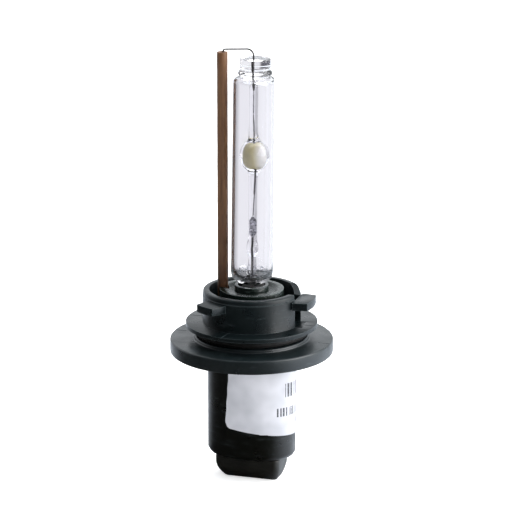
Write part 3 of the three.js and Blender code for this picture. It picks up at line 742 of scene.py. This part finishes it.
# The rim slopes down to the slot on its rear side
ramp = block((wall_inner - 1, -1.5, 0), (wall_outer + 1, 4.2, 3))
bpy.ops.transform.rotate(
    value=math.radians(-15), orient_axis="X", center_override=(0, 4.2 * mm, 0)
)
bpy.ops.transform.translate(value=(0, 0, (rim - 0.05) * mm))
bpy.ops.object.transform_apply(location=True, rotation=True, scale=True)
bpy.context.active_object.rotation_euler.z = math.radians(16)
bpy.ops.object.transform_apply(location=True, rotation=True, scale=True)
join_or_cut(collar, ramp, "DIFFERENCE")
return_x = -6.7
for radius, low, high in ((1.4, spigot_under - 1, disc_top + 1), (1.9, disc_top - 2, disc_top + 1)):
    hole = turned_solid([(radius, low), (radius, high)], 48)
    bpy.ops.transform.translate(value=(return_x * mm, 0, 0))
    bpy.ops.object.transform_apply(location=True, rotation=True, scale=True)
    join_or_cut(collar, hole, "DIFFERENCE")
round_edges(collar, 0.12, 2, angle=40)
for from_x, to_x, turn in ((11.1, 15, 180), (11.1, 15, 0), (11.1, 15, -100)):
    score_line(collar, from_x, to_x, disc_top, turn)
smooth(collar)
collar.name = "bayonet_collar"
dress(collar, moulded_plastic(
    "collar_moulding", (0.0026, 0.0046, 0.0052), (0.06, 0.08, 0.085), 0.31, 4.0, 0.1, specular=0.3
))
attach(collar, "root")
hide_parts("front_collar")


# ---- Sealing ring ---------------------------------------------------------------------------
# A moulded rubber O-ring, stretched into the groove under the upper disc. It has the fine flash
# line of its two-part mould round its outside.
ring_low, ring_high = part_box("sealing_o_ring")
ring_section = (ring_high[2] - ring_low[2]) / 2 / mm
ring_centre = ring_high[0] / mm - ring_section
ring_height = (ring_high[2] + ring_low[2]) / 2 / mm
section_sides = 24
ring_outline = []
for step in range(section_sides):
    angle = 2 * math.pi * step / section_sides
    reach = ring_section * (1.0 if step == 0 else 0.965)
    out, up = reach * math.cos(angle), reach * math.sin(angle)
    ring_outline.append((ring_centre + out, ring_height + up))
seal = turned_ring(ring_outline, 128)
smooth(seal, 60)
seal.name = "rubber_seal"
seal_look, tree, shader, place = new_look("black_rubber")
bloom = noise(tree, place, 700.0, 5.0, 0.65)
feed(
    tree, shader,
    Base_Color=mix_colours(tree, bloom, (0.002, 0.002, 0.002, 1), (0.005, 0.005, 0.0045, 1)),
    Roughness=spread(tree, bloom, 0.3, 0.7, 0.6, 0.75),
    Normal=bumped(tree, bloom, 0.03),
)
dress(seal, seal_look)
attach(seal, "root")
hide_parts("sealing_o_ring")


# ---- Burner holder --------------------------------------------------------------------------
# A dished ring of grey-green heat-proof moulding that carries the burner: outer band, shallow
# dish and a low boss under the glass. Its plug sits in the collar's floor, beside the return tube.
boss_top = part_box("burner_holder")[1][2] / mm
band_top = boss_top - 0.85
dish = band_top - 0.85
holder_radius = 7.18
holder = turned_ring([
    (0.8, disc_top - 2.05),
    (4.2, disc_top - 2.05),
    (4.2, disc_top + 0.3),
    (holder_radius, disc_top + 0.3),
    (holder_radius, band_top),
    (6.1, band_top),
    (5.75, band_top - 0.25),
    (5.2, dish + 0.12),
    (4.3, dish),
    (3.85, dish + 0.15),
    (3.75, dish + 0.5),
    (3.75, boss_top),
    (3.1, boss_top),
    (3.1, boss_top - 3.8),
    (0.8, boss_top - 3.8),
], 128)
notch = turned_solid([(1.42, disc_top), (1.42, boss_top + 1)], 48)
bpy.ops.transform.translate(value=(return_x * mm, 0, 0))
bpy.ops.object.transform_apply(location=True, rotation=True, scale=True)
join_or_cut(holder, notch, "DIFFERENCE")
round_edges(holder, 0.14, 3, angle=30)
smooth(holder)
holder.name = "dished_holder"
dress(holder, moulded_plastic(
    "holder_moulding", (0.003, 0.006, 0.0045), (0.14, 0.17, 0.16), 0.22, 1.8, 0.5
))
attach(holder, "root")
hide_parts("burner_holder")


# ---- Cement ---------------------------------------------------------------------------------
# Fired cement fixes the burner's leg in the boss and the return tube in the collar's floor. Both
# rings are the frame's own pieces, rough and dark grey.
cement_look, tree, shader, place = new_look("fired_cement")
lumps = noise(tree, place, 1400.0, 6.0, 0.7)
feed(
    tree, shader,
    Base_Color=mix_colours(tree, lumps, (0.012, 0.013, 0.012, 1), (0.04, 0.042, 0.038, 1)),
    Roughness=spread(tree, lumps, 0.3, 0.7, 0.8, 0.95),
    Normal=bumped(tree, lumps, 0.1, 0.7),
)
for node in ("burner_cement", "return_tube_cement"):
    dress(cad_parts[node], cement_look)


# ---- Ceramic return tube --------------------------------------------------------------------
# A thin brown ceramic tube beside the burner, which insulates the wire that comes back down from
# the tip. It is extruded and fired, with faint streaks along it, and cemented in the collar.
tube_low, tube_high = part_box("ceramic_return_tube")
tube_radius, cemented_radius, tube_bore = 1.2, 1.12, 0.5
tube_top, tube_foot = tube_high[2] / mm, tube_low[2] / mm
tube_outline = [(tube_bore, tube_foot)]
for step in range(29):
    height = tube_foot + (tube_top - tube_foot) * step / 28
    uneven = 0.012 * math.sin(step * 1.9)
    in_cement = height < disc_top + 0.5
    tube_outline.append((cemented_radius if in_cement else tube_radius + uneven, height))
tube_outline.append((tube_bore, tube_top))
return_tube = turned_ring(tube_outline, 48)
bpy.ops.transform.translate(value=(return_x * mm, 0, 0))
bpy.ops.object.transform_apply(location=True, rotation=True, scale=True)
round_edges(return_tube, 0.08, 2, angle=50)
smooth(return_tube)
return_tube.name = "brown_ceramic_tube"
ceramic_look, tree, shader, place = new_look("brown_ceramic")
along = add_node(tree, "ShaderNodeMapping", {"Vector": place, "Scale": (1.0, 1.0, 0.06)}).outputs[0]
streaks = noise(tree, along, 1600.0, 5.0, 0.6)
patches = noise(tree, place, 160.0, 3.0)
specks = noise(tree, place, 5200.0, 2.0, 0.5)
fired = mix_colours(
    tree, spread(tree, streaks, 0.3, 0.7), (0.09, 0.036, 0.011, 1), (0.19, 0.093, 0.035, 1)
)
fired = mix_colours(
    tree, spread(tree, patches, 0.35, 0.7, 0.0, 0.6), fired, (0.125, 0.052, 0.022, 1)
)
fired = mix_colours(tree, spread(tree, specks, 0.66, 0.74, 0.0, 0.5), fired, (0.05, 0.03, 0.02, 1))
# The tube darkens towards its foot
height = add_node(tree, "ShaderNodeSeparateXYZ", {0: place}).outputs[2]
darker_towards_foot = spread(tree, height, 0.065, 0.04, 0.0, 0.6)
fired = mix_colours(tree, darker_towards_foot, fired, (0.04, 0.015, 0.004, 1))
feed(
    tree, shader,
    Base_Color=fired,
    Roughness=spread(tree, streaks, 0.3, 0.7, 0.42, 0.6),
    Normal=bumped(tree, calculate(tree, "MULTIPLY_ADD", specks, 0.3, streaks), 0.03, 0.5),
)
dress(return_tube, ceramic_look)
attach(return_tube, "root")
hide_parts("ceramic_return_tube")


# ---- Outer envelope -------------------------------------------------------------------------
# The burner's outer tube, in clear fused quartz. It is drawn tube with a rounded foot, closed at
# the top by heat into a shoulder, a squeezed neck and a flat button. It leans slightly.
burner_foot = (0.38, 0.12, boss_top)
burner_lean = math.radians(0.5)


def set_on_burner(piece):
    """Tips a piece drawn up the Z axis by the burner's lean and moves it to the burner's foot."""
    work_on(piece)
    piece.rotation_euler.y = burner_lean
    piece.location = [value * mm for value in burner_foot]
    bpy.ops.object.transform_apply(location=True, rotation=True, scale=True)


def flow(piece, levels=2):
    """Melts the facets of a hot-worked piece into smooth curves."""
    work_on(piece)
    modifier = piece.modifiers.new("flow", "SUBSURF")
    modifier.levels = modifier.render_levels = levels
    bpy.ops.object.modifier_apply(modifier=modifier.name)
    bpy.ops.object.shade_smooth()


glass_radius, glass_inner = 4.68, 4.02
tube_foot_at, tube_head_at = 4.4, 46.3
button_top = 51.3
envelope = turned_solid([
    (0.25, 46.9),
    (1.4, 46.88),
    (2.6, 46.8),
    (glass_inner - 0.4, 46.6),
    (glass_inner - 0.1, 46.2),
    (glass_inner - 0.07, 45.6),
    (glass_inner - 0.05, 40.0),
    (glass_inner, 20.0),
    (glass_inner + 0.05, 6.0),
    (glass_inner + 0.05, 3.9),
    (3.8, 2.8),
    (3.2, 1.95),
    (2.3, 1.5),
    (1.42, 1.4),
    (1.34, 1.1),
    (1.42, 0.48),
    (2.3, 0.42),
    (3.1, 0.62),
    (3.9, 1.1),
    (4.48, 1.85),
    (4.76, 2.7),
    (4.74, 3.7),
    (glass_radius + 0.06, tube_foot_at),
    (glass_radius + 0.06, 8.0),
    (glass_radius + 0.03, 20.0),
    (glass_radius - 0.05, 40.0),
    (glass_radius - 0.08, 45.4),
    (glass_radius - 0.08, tube_head_at),
    (4.5, 46.75),
    (4.15, 47.02),
    (3.6, 47.14),
    (3.05, 47.15),
    (2.98, 47.28),
    (3.35, 47.5),
    (3.82, 47.8),
    (3.86, 48.2),
    (3.5, 48.6),
    (3.3, 48.85),
    (3.32, 49.1),
    (3.46, 49.3),
    (3.48, 49.5),
    (3.48, 50.3),
    (3.48, 50.95),
    (3.46, 51.2),
    (3.3, button_top),
    (2.4, button_top),
    (1.2, button_top - 0.05),
    (0.25, button_top - 0.05),
], 48)
flow(envelope)
# The tube sits a little off the line of its button, as it was drawn in the flame
for vertex in envelope.data.vertices:
    height = vertex.co.z / mm
    aside = -0.38 + 0.09 * min(height / tube_head_at, 1.0)
    vertex.co.x += aside * mm * min(max((47.2 - height) / 0.8, 0.0), 1.0)
set_on_burner(envelope)
envelope.name = "quartz_envelope"


def quartz(name, waviness):
    """Clear fused quartz: drawing lines up the tube, and worked, seedy glass at its foot, with
    painted dark specks there in place of the dark parts seen through it.
    """
    look, tree, shader, place = new_look(name)
    along = add_node(tree, "ShaderNodeMapping", {
        "Vector": place, "Scale": (1.0, 1.0, 0.03),
    }).outputs[0]
    lines = noise(tree, along, 700.0, 3.0)
    haze = noise(tree, place, 500.0, 5.0, 0.7)
    height = add_node(tree, "ShaderNodeSeparateXYZ", {0: place}).outputs[2]
    ragged = calculate(tree, "MULTIPLY_ADD", noise(tree, place, 420.0, 2.0), 2.4 * mm, height)
    worked = calculate(
        tree, "MULTIPLY",
        spread(tree, ragged, (boss_top + 4.4) * mm, (boss_top + 3.8) * mm),
        spread(tree, height, (boss_top + 1.4) * mm, (boss_top + 2.0) * mm),
    )
    speckle = noise(tree, place, 2300.0, 3.0, 0.6)
    seeds = calculate(tree, "MULTIPLY", speckle, worked)
    # Dark blue specks in the foot's colour: painted shade in place of the dark holder seen through
    # the glass
    painted_dark_specks = calculate(tree, "MULTIPLY", spread(tree, speckle, 0.53, 0.6), worked)
    feed(
        tree, shader,
        Base_Color=mix_colours(tree, painted_dark_specks, (0.985, 0.98, 1.0, 1), (0.05, 0.075, 0.12, 1)),
        Metallic=0.0,
        IOR=1.458,
        Transmission_Weight=1.0,
        Roughness=spread(tree, haze, 0.5, 0.8, 0.0, 0.05),
        Normal=bumped(tree, calculate(tree, "MULTIPLY_ADD", seeds, 22.0, lines), waviness, 0.25),
    )
    return look


clear_quartz = quartz("clear_quartz", 0.02)
dress(envelope, clear_quartz)
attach(envelope, "root")
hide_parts("outer_quartz_envelope")


# ---- Arc tube -------------------------------------------------------------------------------
# Inside the envelope: a slim quartz rod, pinched round the foils, with the arc's small bulb blown
# in its middle. The bulb's chamber is a second, inward-facing skin.
arc_centre, arc_radius, arc_half = 29.55, 3.3, 3.6
chamber_radius, chamber_half, chamber_fullness = 1.78, 2.22, 0.74
leg_radius, pinch_shift = 1.0, -0.3


def bulge(radius, half, neck, steps, fullness=1.0):
    """A blown bulge about the arc's centre, as outline points from its lower neck to its upper.
    A fullness below 1 squares it towards a barrel."""
    limit = math.acos((neck / radius) ** (1 / fullness))
    turns = [-limit + 2 * limit * step / steps for step in range(steps + 1)]
    return [
        (
            radius * math.cos(turn) ** fullness,
            arc_centre + half * math.copysign(abs(math.sin(turn)) ** fullness, turn),
        )
        for turn in turns
    ]


def slide_legs(piece):
    """Moves the piece's legs a little to the side, as they come when pinched by hand."""
    for vertex in piece.data.vertices:
        beyond = abs(vertex.co.z / mm - arc_centre) - 2.2
        vertex.co.x += pinch_shift * mm * min(max(beyond / 2.5, 0.0), 1.0)


arc_tube = turned_solid([
    (0.5, -3.4),
    (1.0, -3.3),
    (1.0, 2.0),
    (1.0, 4.4),
    (0.85, 5.4),
    (0.85, 6.6),
    (1.25, 7.1),
    (1.42, 8.0),
    (1.3, 9.2),
    (1.0, 10.2),
    (leg_radius, 11.5),
    (leg_radius, 15.5),
    (0.96, 20.0),
    (0.98, 24.8),
    *bulge(arc_radius * 1.02, arc_half * 1.02, 1.3, 12),
    (0.98, 34.3),
    (0.96, 38.0),
    (leg_radius, 39.5),
    (leg_radius, 43.5),
    (0.95, 45.5),
    (0.5, 46.5),
], 32)
flow(arc_tube)
slide_legs(arc_tube)
chamber = turned_solid(bulge(chamber_radius, chamber_half, 0.3, 14, chamber_fullness), 32)
flow(chamber, 1)
bpy.ops.object.mode_set(mode="EDIT")
bpy.ops.mesh.select_all(action="SELECT")
bpy.ops.mesh.flip_normals()
bpy.ops.object.mode_set(mode="OBJECT")
work_on(arc_tube)
chamber.select_set(True)
bpy.ops.object.join()
set_on_burner(arc_tube)
arc_tube.name = "quartz_arc_tube"
dress(arc_tube, quartz("pinched_quartz", 0.08))
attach(arc_tube, "root")
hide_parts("arc_tube")


# ---- Salts ----------------------------------------------------------------------------------
# Metal halide salts, condensed on the chamber's wall as an olive film, with a painted white
# highlight on the side away from the return tube. The film wets the quartz, with no gap between.
salts = turned_solid(
    bulge(chamber_radius + 0.06, chamber_half + 0.06, 0.3, 14, chamber_fullness), 32
)
flow(salts, 1)
set_on_burner(salts)
salts.name = "salt_film"
salt_look, tree, shader, place = new_look("salt_film")
crust = noise(tree, place, 900.0, 5.0, 0.6)
cloud = noise(tree, place, 300.0, 2.0)
olive = mix_colours(
    tree, spread(tree, cloud, 0.35, 0.65), (0.84, 0.74, 0.36, 1), (0.9, 0.82, 0.5, 1)
)
away = add_node(tree, "ShaderNodeSeparateXYZ", {0: place}).outputs[0]
# Towards the right the film turns white: a painted highlight
painted_highlight_side = spread(tree, calculate(tree, "MULTIPLY_ADD", cloud, 0.6 * mm, away), 1.1 * mm, 2.3 * mm)
film = mix_colours(tree, painted_highlight_side, olive, (0.95, 0.94, 0.88, 1))
feed(
    tree, shader,
    Base_Color=mix_colours(
        tree, spread(tree, crust, 0.4, 0.8, 0.0, 0.3), film, (0.75, 0.72, 0.6, 1)
    ),
    Roughness=spread(tree, crust, 0.3, 0.7, 0.3, 0.5),
    Normal=bumped(tree, crust, 0.05, 0.4),
)
dress(salts, salt_look)
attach(salts, "root")
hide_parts("halide_salts")


# ---- Electrodes -----------------------------------------------------------------------------
# Two drawn tungsten pins that meet in the bulb, each with a thicker head and a thin shank welded
# to the foil in its leg. Neither stands quite true, as the legs are pinched by hand.
electrode_look = metal("drawn_tungsten", (0.03, 0.03, 0.032), (0.11, 0.105, 0.11), 0.4)
arc_gap = 4.2


def slide_along(piece, foot, foot_shift, tip, tip_shift):
    """Slants an upright piece: moves it along X by one amount at its foot and one at its tip."""
    for vertex in piece.data.vertices:
        share = (vertex.co.z / mm - foot) / (tip - foot)
        vertex.co.x += (foot_shift + (tip_shift - foot_shift) * share) * mm


for name, foot, waist, tip, thick, foot_shift, tip_shift in (
    ("lower_electrode", 15.85, 20.6, arc_centre - arc_gap / 2, 0.15, -0.25, 0.15),
    ("upper_electrode", 38.85, 37.8, arc_centre + arc_gap / 2, 0.1, -0.3, -0.1),
):
    way = math.copysign(1, tip - foot)
    pin = turned_solid([
        (0.06, foot),
        (0.075, foot + way * 0.1),
        (0.075, waist),
        (thick, waist + way * 0.5),
        (thick, tip - way * 0.8),
        (thick + 0.06, tip - way * 0.7),
        (thick + 0.06, tip - way * 0.1),
        (thick * 0.6, tip),
    ], 20)
    slide_along(pin, foot, foot_shift, tip, tip_shift)
    smooth(pin)
    set_on_burner(pin)
    pin.name = name + "_pin"
    dress(pin, electrode_look)
    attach(pin, "root")
    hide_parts(name)


# ---- Foils ----------------------------------------------------------------------------------
# Strips of crinkled molybdenum foil, pinched into the quartz to carry the current through it.
# The lower one faces the front and the upper one stands edge on.
foil_look = metal(
    "rolled_molybdenum", (0.01, 0.01, 0.012), (0.4, 0.4, 0.45), 0.3, (1, 1, 1), 2600.0, 0.2
)
foil_width, foil_thick = 1.2, 0.04
for name, low, high, turn, seed in (
    ("lower_foil", 10.9, 15.7, 35, 3), ("upper_foil", 39.0, 44.0, -70, 5),
):
    length = high - low
    bpy.ops.object.select_all(action="DESELECT")
    bpy.ops.mesh.primitive_grid_add(x_subdivisions=8, y_subdivisions=24, size=1)
    strip = bpy.context.active_object
    strip.scale = (foil_width * mm, length * mm, 1)
    strip.rotation_euler = (math.pi / 2, 0, 0)
    bpy.ops.object.transform_apply(location=True, rotation=True, scale=True)
    strip.rotation_euler.z = math.radians(turn)
    strip.location = (pinch_shift * mm, 0, (low + high) / 2 * mm)
    bpy.ops.object.mode_set(mode="EDIT")
    for end in (-1, 1):
        for inset in (0.0, 0.2, 0.4, 0.6, 0.8):
            edge_at = end * (length / 2 - inset)
            pick(strip, "VERT", lambda at, vert: abs(at.z - edge_at) < 0.09)
            narrow = 0.2 + 0.9 * inset
            bpy.ops.transform.resize(value=(narrow, narrow, 1))
    bpy.ops.mesh.select_all(action="SELECT")
    bpy.ops.transform.vertex_random(offset=0.11 * mm, seed=seed)
    bpy.ops.object.mode_set(mode="OBJECT")
    bpy.ops.object.transform_apply(location=True, rotation=True, scale=True)
    modifier = strip.modifiers.new("gauge", "SOLIDIFY")
    modifier.thickness = foil_thick * mm
    bpy.ops.object.modifier_apply(modifier=modifier.name)
    smooth(strip, 30)
    set_on_burner(strip)
    strip.name = name + "_strip"
    dress(strip, foil_look)
    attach(strip, "root")
    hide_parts(name)


# ---- Lead wires and return wire -------------------------------------------------------------
# Molybdenum wire: one lead down from the lower foil to its crimp, a thicker one up through the
# glass button, and the return wire, bent over the top and down inside the ceramic tube.
wire_look = metal("drawn_molybdenum", (0.02, 0.02, 0.022), (0.12, 0.11, 0.11), 0.38)
wire_radius = 0.19

lead_shift = -0.4
upper_lead = turned_solid([
    (0.1, 44.1),
    (0.16, 44.6),
    (0.24, 45.6),
    (0.15, 47.0),
    (0.12, 48.4),
    (0.22, 49.2),
    (0.24, 50.6),
    (0.19, 51.2),
    (0.19, 52.0),
], 20)
slide_along(upper_lead, 44.1, -0.3, 52.0, lead_shift)
smooth(upper_lead, 60)
set_on_burner(upper_lead)
upper_lead.name = "upper_lead_rod"
dress(upper_lead, wire_look)
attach(upper_lead, "root")
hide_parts("upper_lead_wire")


def on_burner(height):
    """A point on the burner's axis at a height above its foot, in mm."""
    across = burner_foot[0] + height * math.sin(burner_lean)
    return Vector((across, burner_foot[1], burner_foot[2] + height * math.cos(burner_lean)))


def drawn_wire(name, points, radius):
    """A round wire through the points, as a bevelled curve made a mesh with closed ends."""
    curve = bpy.data.curves.new(name, "CURVE")
    curve.dimensions = "3D"
    curve.bevel_depth = radius * mm
    curve.bevel_resolution = 4
    curve.use_fill_caps = True
    spline = curve.splines.new("POLY")
    spline.points.add(len(points) - 1)
    for target, point in zip(spline.points, points):
        target.co = (*(point * mm), 1)
    made = bpy.data.objects.new(name, curve)
    bpy.context.collection.objects.link(made)
    work_on(made)
    bpy.ops.object.convert(target="MESH")
    bpy.ops.object.mode_set(mode="EDIT")
    finish_mesh()
    smooth(made, 50)
    return made


crimp_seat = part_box("lamp_crimp")[0][2] / mm + 1.5
lower_lead = drawn_wire("lower_lead", [
    on_burner(10.9) + Vector((pinch_shift, 0, 0)),
    on_burner(9.4) + Vector((pinch_shift, 0, 0)),
    on_burner(8.2) + Vector((pinch_shift - 0.08, 0, 0)),
    on_burner(6.8) + Vector((pinch_shift, 0, 0)),
    on_burner(0.5) + Vector((pinch_shift, 0, 0)),
    on_burner(-4.0),
    Vector((0, 0, disc_top - 2)),
    Vector((0, 0, crimp_seat)),
], wire_radius)
dress(lower_lead, wire_look)
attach(lower_lead, "root")
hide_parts("lower_lead_wire")


def bend(centre, radius, start, end, steps=8):
    turns = [math.radians(start + (end - start) * step / steps) for step in range(steps + 1)]
    return [centre + Vector((math.cos(turn), 0, math.sin(turn))) * radius for turn in turns]


wire_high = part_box("return_wire")[1][2] / mm - wire_radius
top_end = on_burner(51.9) + Vector((lead_shift, 0, 0))
over_x, over_height = return_x + 0.2, wire_high - 0.3
left_bend, right_bend = 0.5, 1.4
return_wire = drawn_wire("return_wire_over_top", [
    top_end,
    *bend(Vector((top_end.x - right_bend, top_end.y, wire_high - right_bend)), right_bend, 0, 90),
    *bend(Vector((over_x + left_bend, 0, over_height - left_bend)), left_bend, 90, 180),
    Vector((over_x, 0, tube_top - 2)),
    Vector((return_x, 0, tube_foot + 5)),
    Vector((return_x, 0, crimp_seat)),
], wire_radius)
dress(return_wire, wire_look)
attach(return_wire, "root")
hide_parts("return_wire")
